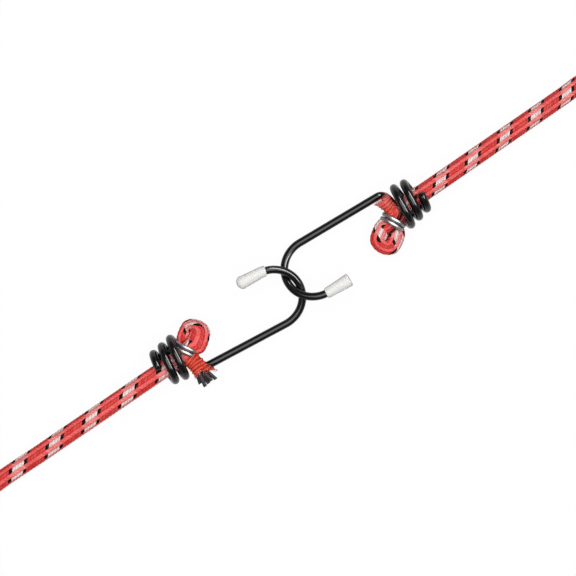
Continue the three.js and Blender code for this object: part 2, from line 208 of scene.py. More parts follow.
# The two ends of the cord, each in its own frame: x runs along the pull line from the coil to the
# hooks, y across it on the tip's side, z up.
# turn and hook_yaw turn the end and its hook about z. hook_shift moves the hook aside, and
# coil_shift its coil ahead. leg_y is the cord's place across the pull line inside the coil.
# clip is the middle of the solids' clip, clip_shift how far this one stands from it, and clip_half
# half its inside height. neck is the way that the folded end's neck points, reach how far the
# middle of the fold lies along it from the clip, fold_aside how far aside, and fold_long how far
# the fold bulges past its middle. fold_over and neck_over are how far the cord lies aside and up
# from the middle, in the fold and in the neck. The fold's shares come first for the tail's side.
# tail_turn, tail_top and tail_end are the tail's places from the clip. pleats is how deep the
# cut end is gathered, and pleats_to how far from the cut. lobe is how far the torn edge stands out
# at lobe_angle, and lobe_flare how much wider it is. bare is how far the strands stand out, and
# spread how far they splay. row, first_wale and first_row are the braid's where the folded end
# meets the free cord, and knot_turn and knot_rows how far it is shifted in the folded end.
ENDS = {
    "left": dict(
        turn=0.0,
        hook_yaw=-1.46,
        hook_shift=0.0,
        coil_shift=-0.0009,
        leg_y=0.0009,
        clip=(-0.056559, 0.0018),
        clip_shift=(-0.0004, 0.0006),
        clip_half=0.0040,
        neck=34.0,
        reach=0.0087,
        fold_long=0.0023,
        fold_aside=0.0003,
        fold_over=(0.00285, 0.00285),
        fold_shares=((1.22, 0.82), (1.0, 1.0)),
        neck_over=(0.0009, 0.0028),
        neck_shares=(0.94, 0.68),
        tail_turn=(-0.0015, -0.0026),
        tail_top=(-0.0003, -0.0063),
        tail_end=(-0.0003, -0.0106),
        pleats=1.0,
        pleats_to=0.0105,
        lobe=0.0030,
        lobe_angle=170.0,
        lobe_flare=0.8,
        filaments=110,
        bare=BARE_LENGTH,
        spread=1.95,
        tip_length=0.014,
        tip_rounding=0.0028,
        row=ROW_LEFT,
        first_wale=FIRST_WALE_LEFT,
        first_row=FIRST_ROW_LEFT,
        knot_turn=8.0,
        knot_rows=3.0,
    ),
    "right": dict(
        turn=180.0,
        hook_yaw=1.44,
        hook_shift=0.0004,
        coil_shift=0.0009,
        leg_y=-0.0008,
        clip=(-0.052939, 0.0025),
        clip_shift=(0.0004, 0.0),
        clip_half=0.00415,
        neck=30.0,
        reach=0.0092,
        fold_long=0.0026,
        fold_aside=0.0006,
        fold_over=(0.00365, 0.0012),
        fold_shares=((0.93, 1.0), (0.93, 1.0)),
        neck_over=(0.0016, 0.0023),
        neck_shares=(0.74, 0.85),
        tail_turn=(-0.0026, -0.0034),
        tail_top=(-0.0020, -0.0064),
        tail_end=(-0.0014, -0.0102),
        pleats=0.85,
        pleats_to=0.0085,
        lobe=0.0,
        lobe_angle=0.0,
        lobe_flare=0.0,
        filaments=220,
        bare=0.0,
        spread=1.0,
        tip_length=0.0122,
        tip_rounding=0.0008,
        row=ROW_RIGHT,
        first_wale=FIRST_WALE_RIGHT,
        first_row=FIRST_ROW_RIGHT,
        knot_turn=0.0,
        knot_rows=0.0,
    ),
}

# The free cord's route along its middle, from the left end round to the right end
FLOOR_HEIGHT = CORD_RADIUS * math.cos(math.pi / CORD_SIDES)
CORD_ROUTE = [
    (-0.086, -0.0576, 0.0106),
    (-0.112, -0.0753, 0.0074),
    (-0.1376, -0.0931, FLOOR_HEIGHT),
    (-0.146, -0.1024, FLOOR_HEIGHT),
    (-0.1492, -0.115, FLOOR_HEIGHT),
    (-0.1457, -0.1282, FLOOR_HEIGHT),
    (-0.136, -0.138, FLOOR_HEIGHT),
    (-0.1227, -0.1415, FLOOR_HEIGHT),
    (-0.104, -0.1415, FLOOR_HEIGHT),
    (-0.012, -0.1415, FLOOR_HEIGHT),
    (0.08, -0.1415, FLOOR_HEIGHT),
    (0.1, -0.1415, FLOOR_HEIGHT),
    (0.117, -0.1415, FLOOR_HEIGHT),
    (0.127, -0.1388, FLOOR_HEIGHT),
    (0.1343, -0.1315, FLOOR_HEIGHT),
    (0.1369, -0.1237, FLOOR_HEIGHT),
    (0.1393, -0.106, FLOOR_HEIGHT),
    (0.1501, -0.0254, FLOOR_HEIGHT),
    (0.1599, 0.048, FLOOR_HEIGHT),
    (0.1633, 0.073, FLOOR_HEIGHT),
    (0.1615, 0.0837, FLOOR_HEIGHT),
    (0.1549, 0.0916, FLOOR_HEIGHT),
    (0.1451, 0.0951, 0.0039),
    (0.132, 0.0916, 0.004),
    (0.1225, 0.085, 0.0047),
    (0.106, 0.0736, 0.0072),
    (0.085, 0.0591, 0.0104),
]

UP = np.array((0.0, 0.0, 1.0))

# How the dye wanders over the braid, and its finer grain
DYE_STRETCH = 2.6
DYE_SCALE = 1.7
DYE_RAGGED = 0.5
FINE_ACROSS = 1.5
FINE_ALONG = 9.0
FINE_SCALE = 3.0
FINE_SHADE = 0.5
FINE_BUMP = 0.00006

# Painted shade: how dark the braid is painted between its threads, wales and pleats and in its creases
RIB_SHADE = 0.42
RIB_POWER = 2.2
WALE_SHADE = 0.85
WALE_POWER = 5.0
# Every second wale keeps less of the painted groove shade, so it is painted lighter: a painted sheen
ODD_SPARED = 0.6                      # share of the shade that every second wale is spared
PLEAT_SHADE = 0.7
PLEAT_POWER = 1.6
PLEAT_SPARED = 0.85
CREASE_SHADE = 0.95
CREASE_POWER = 1.5
TONE_BY_THREAD = 0.4
# Every second wale is painted a lighter red, a painted sheen; by thread the tone differs at random
PAINTED_SHEEN_BY_WALE = 0.6
PLEAT_RED_SHARE = 0.75
SPECKLED_SHARE = 0.2

# The grain of the other materials: how fine it is, and how deep
GRAIN_DETAIL = 3.0
WIRE_GRAIN = (900.0, 0.000004)
CLIP_GRAIN = (500.0, 0.000005)
RUBBER_GRAIN = (1200.0, 0.00005)

# Lights and floor
FLOOR_SIZE = 3.0
FLOOR_WHITE_SHARE = 0.95
FLOOR_GLOSS_SHARE = 0.5
FLOOR_GREY = (0.35, 0.35, 0.35, 1.0)
FLOOR_WHITE = (0.96, 0.96, 0.96, 1.0)
WHITE = (1.0, 1.0, 1.0, 1.0)
ROOM_GREY = (0.1, 0.1, 0.103, 1.0)
ROOM_GLOSS_SHARE = 0.06
LAMPS = {
    "main_lamp": dict(place=(0.0, 0.0, 1.15), size=(1.2, 1.2), power=16.4),
    "strip_lamp": dict(place=(0.74, 0.505, 1.05), size=(0.36, 2.0), power=56.0, gloss_only=True),
}


def unit(v):
    return v / np.linalg.norm(v, axis=-1, keepdims=True)


def heading(angle):
    return np.array((math.cos(angle), math.sin(angle), 0.0))


def level(place):
    """A place in the plane as one in space."""
    return np.array((*place, 0.0))


def eased(share):
    return share * share * (3 - 2 * share)


def rotation(axis, degrees):
    """A turn about x or z as a matrix."""
    c, s = math.cos(math.radians(degrees)), math.sin(math.radians(degrees))
    if axis == "x":
        return np.array(((1, 0, 0), (0, c, -s), (0, s, c)))
    return np.array(((c, -s, 0), (s, c, 0), (0, 0, 1)))


def end_to_world(end, points):
    """Points of an end's own frame, in the model's frame."""
    return points @ rotation("z", PULL_ANGLE + end["turn"]).T + UP * PULL_HEIGHT


def hook_to_world(end, points):
    tilted = points @ rotation("x", HOOK_TILT).T @ rotation("z", end["hook_yaw"]).T
    return end_to_world(end, tilted + np.array((0.0, end["hook_shift"], 0.0)))


def across(along):
    """The level way across a line, and the way up from it."""
    side = unit(np.cross(UP, along))
    return side, np.cross(along, side)


class SmoothCurve:
    """A centripetal Catmull-Rom curve. A place on it counts its points."""

    def __init__(self, points):
        p = np.asarray(points, float)
        self.count = len(p)
        self.points = np.vstack([2 * p[0] - p[1], p, 2 * p[-1] - p[-2]])
        self.knots = np.sqrt(np.linalg.norm(np.diff(self.points, axis=0), axis=1))

    def at(self, places):
        i = np.clip(np.floor(places).astype(int), 0, self.count - 2)
        w = (places - i)[:, None]
        p0, p1, p2, p3 = (self.points[i + k] for k in range(4))
        d0, d1, d2 = (self.knots[i + k][:, None] for k in range(3))
        t1 = ((p1 - p0) / d0 - (p2 - p0) / (d0 + d1) + (p2 - p1) / d1) * d1
        t2 = ((p2 - p1) / d1 - (p3 - p1) / (d1 + d2) + (p3 - p2) / d2) * d1
        square = (3 * (p2 - p1) - 2 * t1 - t2) * w**2
        cube = (2 * (p1 - p2) + t1 + t2) * w**3
        return p1 + t1 * w + square + cube


class Route:
    """A line with its width and depth shares, by the distance along it. It goes on straight past
    both ends."""

    SAMPLES = 60
    MARGIN = 0.02
    HALF_CHORD = 0.00005

    def __init__(self, points, wide=None, deep=None):
        count = len(points)
        places = np.linspace(0, count - 1, (count - 1) * self.SAMPLES + 1)
        line = SmoothCurve(points).at(places)
        steps = np.linalg.norm(np.diff(line, axis=0), axis=1)
        gone = np.concatenate([[0.0], np.cumsum(steps)])
        self.length = gone[-1]
        before = line[0] - unit(line[1] - line[0]) * self.MARGIN
        after = line[-1] + unit(line[-1] - line[-2]) * self.MARGIN
        self.line = np.vstack([before, line, after])
        self.gone = np.concatenate([[-self.MARGIN], gone, [self.length + self.MARGIN]])
        self.wide = np.pad(self.share(places, wide, count), 1, mode="edge")
        self.deep = np.pad(self.share(places, deep, count), 1, mode="edge")

    @staticmethod
    def share(places, shares, count):
        if shares is None:
            return np.ones(len(places))
        shares = np.asarray(shares, float)
        i = np.clip(np.floor(places).astype(int), 0, count - 2)
        w = eased(places - i)
        return shares[i] * (1 - w) + shares[i + 1] * w

    def at(self, distances):
        """Places, ways along, and the two shares at any array of distances."""
        place, before, after = (
            np.stack([np.interp(distances + d, self.gone, self.line[:, k]) for k in range(3)], axis=-1)
            for d in (0.0, -self.HALF_CHORD, self.HALF_CHORD)
        )
        wide = np.interp(distances, self.gone, self.wide)
        deep = np.interp(distances, self.gone, self.deep)
        return place, unit(after - before), wide, deep

    def surface(self, distances, angle, radius):
        """Points round the line, on its section as the two shares draw it."""
        place, along, wide, deep = self.at(distances)
        side, rise = across(along)
        sideways = (radius * np.cos(angle) * wide)[..., None] * side
        upwards = (radius * np.sin(angle) * deep)[..., None] * rise
        return place + sideways + upwards


# Meshes


def mesh_object(name, vertices, faces, layers=()):
    """A smooth mesh. A layer holds one pair for each corner of each face."""
    mesh = bpy.data.meshes.new(name)
    mesh.from_pydata(np.asarray(vertices).tolist(), [], faces)
    for layer_name, pairs in dict(layers).items():
        layer = mesh.uv_layers.new(name=layer_name)
        layer.data.foreach_set("uv", np.asarray(pairs, np.float32).ravel())
    mesh.polygons.foreach_set("use_smooth", [True] * len(mesh.polygons))
    mesh.update()
    made = bpy.data.objects.new(name, mesh)
    bpy.context.scene.collection.objects.link(made)
    return made


def grid_faces(rings, sides, start=0):
    """Quads between rings of equal length, as an array."""
    i = np.arange(rings - 1)[:, None] * sides
    j = np.arange(sides)[None, :]
    k = (j + 1) % sides
    quads = np.stack([i + j, i + k, i + sides + k, i + sides + j], axis=-1)
    return quads.reshape(-1, 4) + start


def rod_faces(rings, sides, start=0):
    """Quads between rings of equal length, and a face on each end."""
    faces = grid_faces(rings, sides, start).tolist()
    last = start + (rings - 1) * sides
    faces.append([start + j for j in range(sides)][::-1])
    faces.append([last + j for j in range(sides)])
    return faces


def loop_faces(rings, sides):
    """Quads between rings of equal length, and from the last one back to the first."""
    j = np.arange(sides)
    k = (j + 1) % sides
    last = (rings - 1) * sides
    closing = np.stack([last + j, last + k, k, j], axis=-1)
    return np.vstack([grid_faces(rings, sides), closing]).tolist()


def loop_corners(values):
    """The values at the corners of the faces of such a loop, from those at its points."""
    beside = np.roll(values, -1, axis=1)
    corners = [values, beside, np.roll(beside, -1, axis=0), np.roll(values, -1, axis=0)]
    return np.stack(corners, axis=-1).reshape(-1, 4)


def circle(sides):
    return np.arange(sides) * 2 * math.pi / sides


def ring_points(place, radius, sides, side, rise):
    angles = circle(sides)
    return place + radius * (np.cos(angles)[:, None] * side + np.sin(angles)[:, None] * rise)


def spokes(sides, side, rise):
    """The ways to the points of the rings round a line, from its points' ways across and up."""
    angles = circle(sides)
    return np.cos(angles)[None, :, None] * side[:, None] + np.sin(angles)[None, :, None] * rise[:, None]


def rod_object(name, line, radius, sides, first_side):
    """A round rod along a line, with its ends drawn in a little."""
    along = unit(np.gradient(line, axis=0))
    steps = radius * ROD_END_STEPS[:, None]
    line = np.vstack([line[0] + along[0] * steps, line[1:-1], line[-1] - along[-1] * steps[::-1]])
    end_rings = len(ROD_END_STEPS)
    radii = np.full(len(line), radius)
    radii[:end_rings] *= ROD_END_SHARES
    radii[-end_rings:] *= ROD_END_SHARES[::-1]
    along = np.pad(along, ((end_rings - 1, end_rings - 1), (0, 0)), mode="edge")
    side = first_side
    vertices = []
    for place, way, r in zip(line, along, radii):
        side = unit(side - way * (side @ way))
        vertices.append(ring_points(place, r, sides, side, np.cross(way, side)))
    return mesh_object(name, np.vstack(vertices), rod_faces(len(line), sides))


# The braided sheath


def float_height(ring_rows, wale_places):
    """How far the braid stands out at each ring and wale place."""
    wale = np.floor(wale_places)
    off_middle = np.abs(2 * (wale_places - wale - 0.5))
    other = np.mod(wale, 2)
    rib = np.mod(ring_rows[:, None] + 0.5 * other[None, :], 1.0)
    crest = np.sin(math.pi * rib) ** FLOAT_ROUNDNESS
    ends = 1 - off_middle**FLOAT_END_POWER
    body = FLOAT_HEIGHT * crest * (FLOAT_END_SHARE + (1 - FLOAT_END_SHARE) * ends)[None, :]
    return body - GROOVE_DEPTH * (off_middle**GROOVE_POWER)[None, :]


def cut_form(tail, from_cut, around):
    """Near a cut end: how much of their slant the rings have and how deep they are pleated, and
    how far each point belongs to the torn lobe."""
    slanted = np.clip(from_cut / (SLANT_FADE * FLOAT_SLANT), 0, 1)
    pleat = tail["pleats"] * np.clip((tail["pleats_to"] - from_cut) / PLEAT_FADE, 0, 1)
    lobe = np.maximum(np.cos(around - math.radians(tail["lobe_angle"])), 0) ** 2
    if not tail["lobe"]:
        return slanted, pleat, np.zeros_like(lobe)
    near = np.clip(1 - from_cut / (LOBE_REACH * tail["lobe"]), 0, 1) ** 2
    return slanted, pleat, lobe * near[:, None]


def creases(outer, distance, route):
    """How deep each point of a folded cord lies in the crease beside another stretch of it."""
    # The crease's depth found here sets how much shade is painted there
    middles = np.arange(0, route.length, CREASE_STEP)
    places = route.at(middles)[0]
    deep = np.zeros(distance.shape)
    for middle, place in zip(middles, places):
        gap = np.linalg.norm(outer - place, axis=-1) - CORD_RADIUS
        far = np.abs(distance - middle) > CREASE_APART
        deep = np.maximum(deep, np.where(far, np.clip(1 - gap / CREASE_REACH, 0, 1), 0))
    return deep


def sheath_layers(ring_rows, bore_rings, wave, pleat, crease):
    """What the braid's material reads at each corner: the wale and the row, the pleats' wave and
    depth, and the creases. The bore has the last ring's row, and no pleats or creases."""
    # The creases' depth sets the shade that is painted in them
    j = np.arange(BRAID_SIDES)
    wales = np.stack([j, j + 1, j + 1, j], axis=-1) / STEPS_PER_WALE
    rows = np.append(ring_rows, np.full(bore_rings, ring_rows[-1]))
    depths = np.append(pleat, np.zeros(bore_rings))
    rows, depths = (np.repeat(values[:, None], BRAID_SIDES, axis=1) for values in (rows, depths))
    bore = np.zeros((bore_rings, BRAID_SIDES))
    painted_crease_shade = loop_corners(np.vstack([crease, bore]))
    return {
        "braid": np.stack([np.tile(wales, (len(rows), 1)), loop_corners(rows)], axis=-1),
        "pleats": np.stack([loop_corners(np.vstack([wave, bore])), loop_corners(depths)], axis=-1),
        "creases": np.stack([painted_crease_shade, np.zeros_like(painted_crease_shade)], axis=-1),
    }


def sheath_object(name, route, rows, first_wale, steps=STEPS_PER_ROW, cut=None, tail=None):
    """The braid along a route. rows gives the row coordinate, and first_wale the angle of the
    first wale, at a distance. cut is the distance of the cut end, and tail the values of the end
    of the cord that it belongs to."""
    first, last = rows(np.array([0.0, route.length]))
    ring_rows = np.linspace(first, last, int(abs(last - first) * steps) + 1)
    table = np.linspace(0.0, route.length, TABLE_STEPS)
    ring_at = np.interp(ring_rows, rows(table), table)
    wale_places = np.arange(BRAID_SIDES) / STEPS_PER_WALE
    wale_angles = wale_places[None, :] * WALE_ANGLE
    wale = np.floor(wale_places)
    slant = (1 - 2 * np.mod(wale, 2)) * (wale_places - wale - 0.5)
    shift = np.tile(-FLOAT_SLANT * slant, (len(ring_at), 1))
    pleat = np.zeros(len(ring_at))
    flare = bore_shift = np.zeros_like(shift)
    if cut is not None:
        around = np.radians(first_wale(ring_at)[:, None] + wale_angles)
        slanted, pleat, lobe = cut_form(tail, np.abs(ring_at - cut), around)
        shift = shift * slanted[:, None] + lobe * tail["lobe"] * (1 if cut > 0 else -1)
        flare, bore_shift = lobe * tail["lobe_flare"], shift

    distance = ring_at[:, None] + shift
    angle = np.radians(first_wale(distance) + wale_angles)
    phase = np.abs(distance - cut) / PLEAT_LENGTH if cut is not None else np.zeros_like(distance)
    wave = phase + PLEAT_WANDER * np.sin(2 * angle + PLEAT_TURN * phase)
    ridge = np.abs(np.sin(math.pi * wave)) ** PLEAT_ROUNDNESS
    relief = float_height(ring_rows, wale_places) * (1 - PLEAT_FLATTENS * pleat)[:, None]
    relief = relief + PLEAT_HEIGHT * pleat[:, None] * (2 * ridge - 1)
    radius = (CORD_RADIUS - FLOAT_HEIGHT * FLOAT_SUNK + relief) * (1 + flare)
    outer = route.surface(distance, angle, radius)

    picked = np.arange(0, len(ring_at), steps // BORE_STEPS_PER_ROW)
    if picked[-1] != len(ring_at) - 1:
        picked = np.append(picked, len(ring_at) - 1)
    bore_at = ring_at[picked]
    angle = np.radians(first_wale(bore_at)[:, None] + wale_angles)
    radius = (CORD_RADIUS - SHEATH_WALL - FLOAT_HEIGHT) * (1 + flare[picked])
    inner = route.surface(bore_at[:, None] + bore_shift[picked], angle, radius)

    vertices = np.vstack([outer.reshape(-1, 3), inner[::-1].reshape(-1, 3)])
    faces = loop_faces(len(outer) + len(inner), BRAID_SIDES)
    crease = creases(outer, distance, route) if cut is not None else np.zeros_like(wave)
    layers = sheath_layers(ring_rows, len(inner), wave, pleat, crease)
    return mesh_object(name, vertices, faces, layers)


# The routes of the cord


def knot_points(end):
    """The folded end's points and shares, from the cut tail over the fold to the free cord."""
    neck = math.radians(end["neck"])
    along, aside = heading(neck), heading(neck + math.pi / 2)
    clip = level(end["clip"])
    fold = clip + along * end["reach"] + aside * end["fold_aside"]
    over = UP * end["fold_over"][1] - aside * end["fold_over"][0]
    neck_over = UP * end["neck_over"][1] - aside * end["neck_over"][0]
    tail_side, cord_side = end["fold_shares"]
    swollen = (clip + fold) / 2 + along * (SWELL_REACH - end["reach"] / 2)
    rows = [
        (clip + np.array((*end["tail_end"], TAIL_HEIGHT)), TAIL_WIDTH, TAIL_DEPTH),
        (clip + np.array((*end["tail_top"], TAIL_HEIGHT)), end["neck_shares"][0], TAIL_DEPTH),
        (clip + np.array((*end["tail_turn"], TAIL_HEIGHT)), *end["neck_shares"]),
        (clip - along * SQUEEZE_REACH + neck_over, *end["neck_shares"]),
        (clip + along * SQUEEZE_REACH + neck_over, *end["neck_shares"]),
        (swollen + over * SWELL_STACK, *tail_side),
    ]
    for i in range(1, FOLD_STEPS):
        share = 1 - 2 * i / FOLD_STEPS
        turn = math.pi / 2 * share
        shares = (
            np.interp(share, (-1, 0, 1), values) for values in zip(cord_side, FOLD_SHARES, tail_side)
        )
        bulge = along * end["fold_long"] * math.cos(turn)
        rows.append((fold + bulge + over * math.sin(turn), *shares))
    in_coil = np.array((end["clip"][0] - 2 * CORD_RADIUS, end["leg_y"], 0.0))
    free = np.array((KNOT_END, end["leg_y"], 0.0))
    rows.extend([
        (swollen - over * SWELL_STACK, *cord_side),
        (clip + along * SQUEEZE_REACH - neck_over, *end["neck_shares"]),
        (clip - along * SQUEEZE_REACH - neck_over, *end["neck_shares"]),
        (in_coil, 1, 1),
        ((in_coil + free) / 2, 1, 1),
        (free, 1, 1),
    ])
    points, wide, deep = zip(*rows)
    return end_to_world(end, np.array(points)), list(wide), list(deep)


def knot_route(name):
    """The folded end's route, in the way of the free cord's."""
    points, wide, deep = knot_points(ENDS[name])
    if name == "right":
        return Route(points[::-1], wide[::-1], deep[::-1])
    return Route(points, wide, deep)


def free_route():
    exits = [end_to_world(end, np.array(((KNOT_END, end["leg_y"], 0.0),))) for end in ENDS.values()]
    return Route(np.vstack([exits[0], np.array(CORD_ROUTE), exits[1]]))


def free_rows(route):
    """The row coordinate along the free cord: evenly spaced at each end, and fitted between."""
    table = np.linspace(0, route.length, TABLE_STEPS)
    blend = eased(np.clip((table - EVEN_STRETCH) / (route.length - 2 * EVEN_STRETCH), 0, 1))
    rate = (1 - blend) / ROW_LEFT + blend / ROW_RIGHT
    gone = np.concatenate([[0.0], np.cumsum((rate[1:] + rate[:-1]) / 2 * np.diff(table))])
    half = COLOUR_ROWS / 2
    spare = (FIRST_ROW_RIGHT - FIRST_ROW_LEFT - gone[-1] + half) % COLOUR_ROWS - half
    values = FIRST_ROW_LEFT + gone + spare * blend
    return lambda distance: np.interp(distance, table, values)


# The hook, its tip and the clip


def coil_place(end, angle):
    """The coil's middle line at an angle in degrees."""
    share = (angle - HOOK_TILT) / (COIL_END_ANGLE - HOOK_TILT)
    radius = COIL_START_RADIUS + (COIL_END_RADIUS - COIL_START_RADIUS) * share
    turn = np.radians(angle)
    y = radius * np.sin(turn)
    x = COIL_START + end["coil_shift"] + COIL_PITCH * (angle - HOOK_TILT) / 360 + COIL_LEAN * y
    return np.stack([x, y, radius * np.cos(turn)], axis=-1)


def shank_frame(end):
    """Where the shank starts, the middle of the bend, and the shank's angle."""
    start = np.array((coil_place(end, COIL_END_ANGLE)[0] + CORNER_LENGTH, -SHANK_OFFSET, 0.0))
    centre = np.array((LINK_REACH - BEND_RADIUS, BEND_CENTRE_Y, 0.0))
    reach = centre - start
    angle = math.atan2(reach[1], reach[0]) - math.asin(BEND_RADIUS / np.linalg.norm(reach))
    return start, centre, angle


def hook_line(end):
    """The wire's middle line: the coil, the corner, the shank, the bend and the limb."""
    coil = coil_place(end, np.linspace(HOOK_TILT, COIL_END_ANGLE, COIL_STEPS))
    start, centre, angle = shank_frame(end)
    shank = heading(angle)
    leaving = unit(coil[-1] - coil_place(end, COIL_END_ANGLE - COIL_CHORD))
    t = np.linspace(0, 1, CORNER_STEPS + 1)[1:, None]
    a, d = coil[-1], start
    b, c = a + leaving * CORNER_HANDLE, d - shank * CORNER_HANDLE
    corner = a * (1 - t) ** 3 + 3 * b * t * (1 - t) ** 2 + 3 * c * t**2 * (1 - t) + d * t**3
    around = angle - math.pi / 2 + np.linspace(0, math.pi, BEND_STEPS + 1)
    ways = np.stack([np.cos(around), np.sin(around), np.zeros(len(around))], axis=-1)
    bend = centre + ways * BEND_RADIUS
    return np.vstack([coil, corner, bend, bend[-1:] - shank * LIMB_LENGTH])


def from_wire_end(end, distance):
    """A place on the hook's middle line and the way along it, back from the end of the wire."""
    _, centre, angle = shank_frame(end)
    way = heading(angle + math.pi / 2 - max(distance - LIMB_LENGTH, 0) / BEND_RADIUS)
    along = np.array((-way[1], way[0], 0.0))
    return centre + way * BEND_RADIUS + along * max(LIMB_LENGTH - distance, 0), along


def hook_object(name, end):
    line = hook_to_world(end, hook_line(end))
    first_side = unit(line[0] - line[COIL_STEPS // 4])
    return rod_object(f"wire_hook_{name}", line, WIRE_RADIUS, WIRE_SIDES, first_side)


def tip_rows(end):
    """The tip's section from the bore's bottom out to its end, as distances back from the end of
    the wire and radii: the bore, the rounded lip, the widening side and the rounded end."""
    length, rounding = end["tip_length"], end["tip_rounding"]
    mouth = length - TIP_FLOOR - TIP_FIT
    bore = WIRE_RADIUS + TIP_FIT
    lip = (TIP_MOUTH_RADIUS - bore) / 2
    rows = [(-TIP_FIT, bore), (mouth, bore)]
    for turn in np.linspace(0, math.pi, TIP_LIP_STEPS)[1:-1]:
        rows.append((mouth + lip * math.sin(turn), bore + lip * (1 - math.cos(turn))))
    for share in np.linspace(0, 1, TIP_SIDE_STEPS):
        gone = (length - rounding) * share
        widened = (TIP_END_RADIUS - TIP_MOUTH_RADIUS) * gone / length
        rows.append((mouth - gone, TIP_MOUTH_RADIUS + widened))
    for turn in np.linspace(0, math.pi / 2, TIP_END_STEPS)[1:]:
        back = rounding * (1 - math.sin(turn)) - TIP_FIT - TIP_FLOOR
        rows.append((back, TIP_END_RADIUS - rounding * (1 - math.cos(turn))))
    crown = (TIP_END_RADIUS - rounding) * TIP_CROWN_SHARE
    rows.append((-TIP_FIT - TIP_FLOOR - TIP_CROWN_RING, crown))
    return rows


def tip_object(name, end):
    """A cap with a bore for the wire."""
    rows = tip_rows(end)
    vertices = []
    for distance, radius in rows:
        place, along = from_wire_end(end, distance)
        vertices.append(ring_points(place, radius, TIP_SIDES, *across(along)))
    for distance in (-TIP_FIT, -TIP_FIT - TIP_FLOOR - TIP_CROWN):
        vertices.append(from_wire_end(end, distance)[0])
    faces = grid_faces(len(rows), TIP_SIDES).tolist()
    bottom = len(rows) * TIP_SIDES
    crown = bottom + 1
    last_ring = bottom - TIP_SIDES
    for j in range(TIP_SIDES):
        k = (j + 1) % TIP_SIDES
        faces.append([bottom, k, j])
        faces.append([crown, last_ring + j, last_ring + k])
    return mesh_object(f"plastic_tip_{name}", hook_to_world(end, np.vstack(vertices)), faces)


def clip_object(name, end):
    """A wire wound round the neck, with flat sides."""
    neck = math.radians(end["neck"])
    along, aside = heading(neck), heading(neck + math.pi / 2)
    height = end["clip_half"] + CLIP_WIRE_RADIUS
    flat = CLIP_HALF_DEPTH - end["clip_half"]
    turns = np.linspace(-CLIP_TURNS / 2, CLIP_TURNS / 2, CLIP_STEPS)
    angle = turns * 2 * math.pi + math.pi
    squared = np.tanh(CLIP_SQUARENESS * np.cos(angle)) / math.tanh(CLIP_SQUARENESS)
    line = (
        level(end["clip"]) + level(end["clip_shift"])
        + along * (CLIP_PITCH * turns)[:, None]
        + aside * (height * np.sin(angle))[:, None]
        + UP * (height * np.cos(angle) + flat * squared)[:, None]
    )
    first_side = rotation("z", PULL_ANGLE + end["turn"]) @ along
    line = end_to_world(end, line)
    return rod_object(f"wound_clip_{name}", line, CLIP_WIRE_RADIUS, CLIP_SIDES, first_side)


# The rubber strands and the loose filaments


def strand_places():
    """The strands' places in the cord's section."""
    turns = np.radians(np.arange(STRANDS_ROUND) * 360 / STRANDS_ROUND)
    return [(0.0, 0.0), *((STRAND_PITCH * math.cos(a), STRAND_PITCH * math.sin(a)) for a in turns)]


def strand_object(name, route, middle, start, end, spread):
    """One strand at a place in the section, from start to end along a route. Past the cut it
    stands off further, up to spread times."""
    distance = np.linspace(start, end, int((end - start) / STRAND_STEP))
    place, along, wide, deep = route.at(distance)
    side, rise = across(along)
    angles = circle(STRAND_SIDES)
    off = 1 + (spread - 1) * np.clip(-distance / BARE_LENGTH, 0, 1)
    a = (middle[0] * off)[:, None] + STRAND_RADIUS * np.cos(angles)[None, :]
    b = (middle[1] * off)[:, None] + STRAND_RADIUS * np.sin(angles)[None, :]
    sideways = (a * wide[:, None])[..., None] * side[:, None]
    upwards = (b * deep[:, None])[..., None] * rise[:, None]
    rings = place[:, None] + sideways + upwards
    return mesh_object(name, rings.reshape(-1, 3), rod_faces(len(distance), STRAND_SIDES))


def frayed_object(name, route, cut, end):
    """Loose filaments of the braid's yarns round the cut edge."""
    outward = -1.0 if cut == 0 else 1.0
    steps = np.linspace(0, 1, FILAMENT_STEPS)
    vertices, faces = [], []
    for _ in range(end["filaments"]):
        angle = chance.uniform(0, 2 * math.pi)
        lobe = max(math.cos(angle - math.radians(end["lobe_angle"])), 0) ** 2
        start = cut + outward * (end["lobe"] * lobe - FILAMENT_TUCK)
        length = chance.uniform(*FILAMENT_LENGTHS)
        lean = chance.gauss(0, FILAMENT_LEAN)
        open_out = chance.uniform(0.0, FILAMENT_OPENING) + LOBE_OPENING * lobe
        edge = (CORD_RADIUS - FILAMENT_INSET) * (1 + end["lobe_flare"] * lobe)
        distance = start + outward * length * steps
        reach = edge + length * open_out * steps**1.5
        line = route.surface(distance, angle + lean * steps**2, reach)
        thickness = FILAMENT_RADIUS * (1 - FILAMENT_THINNING * steps) * chance.uniform(*FILAMENT_RADII)
        ring = spokes(FILAMENT_SIDES, *across(route.at(distance)[1]))
        first = len(vertices) * FILAMENT_STEPS * FILAMENT_SIDES
        vertices.append((line[:, None] + ring * thickness[:, None, None]).reshape(-1, 3))
        faces.extend(rod_faces(FILAMENT_STEPS, FILAMENT_SIDES, first))
    corners = sum(len(face) for face in faces) // end["filaments"]
    yarn = np.repeat(np.arange(end["filaments"]), corners)
    pairs = np.stack([yarn * YARN_WALE_STEP % WALES + 0.5, yarn * YARN_ROW_STEP + 0.5], axis=-1)
    return mesh_object(f"frayed_yarn_{name}", np.vstack(vertices), faces, {"braid": pairs})


def core_object(route):
    """The bundle of strands along the free cord, as one lobed body."""
    angles = circle(CORE_SIDES)
    half = math.pi / STRANDS_ROUND
    off = np.mod(angles + half, 2 * half) - half
    chord = np.sqrt(np.maximum(STRAND_RADIUS**2 - (STRAND_PITCH * np.sin(off)) ** 2, 0))
    reach = STRAND_PITCH * np.cos(off) + chord
    distance = np.linspace(JOIN_INSET, route.length - JOIN_INSET, CORE_RINGS)
    place, along, _, _ = route.at(distance)
    rings = place[:, None] + spokes(CORE_SIDES, *across(along)) * reach[None, :, None]
    return mesh_object("cord_core", rings.reshape(-1, 3), rod_faces(len(distance), CORE_SIDES))


# Materials


def srgb(red, green, blue):
    """A colour of eight-bit screen values, by the sRGB standard."""
    shares = (value / 255 for value in (red, green, blue))
    linear = (((s + 0.055) / 1.055) ** 2.4 if s > 0.04045 else s / 12.92 for s in shares)
    return (*linear, 1.0)


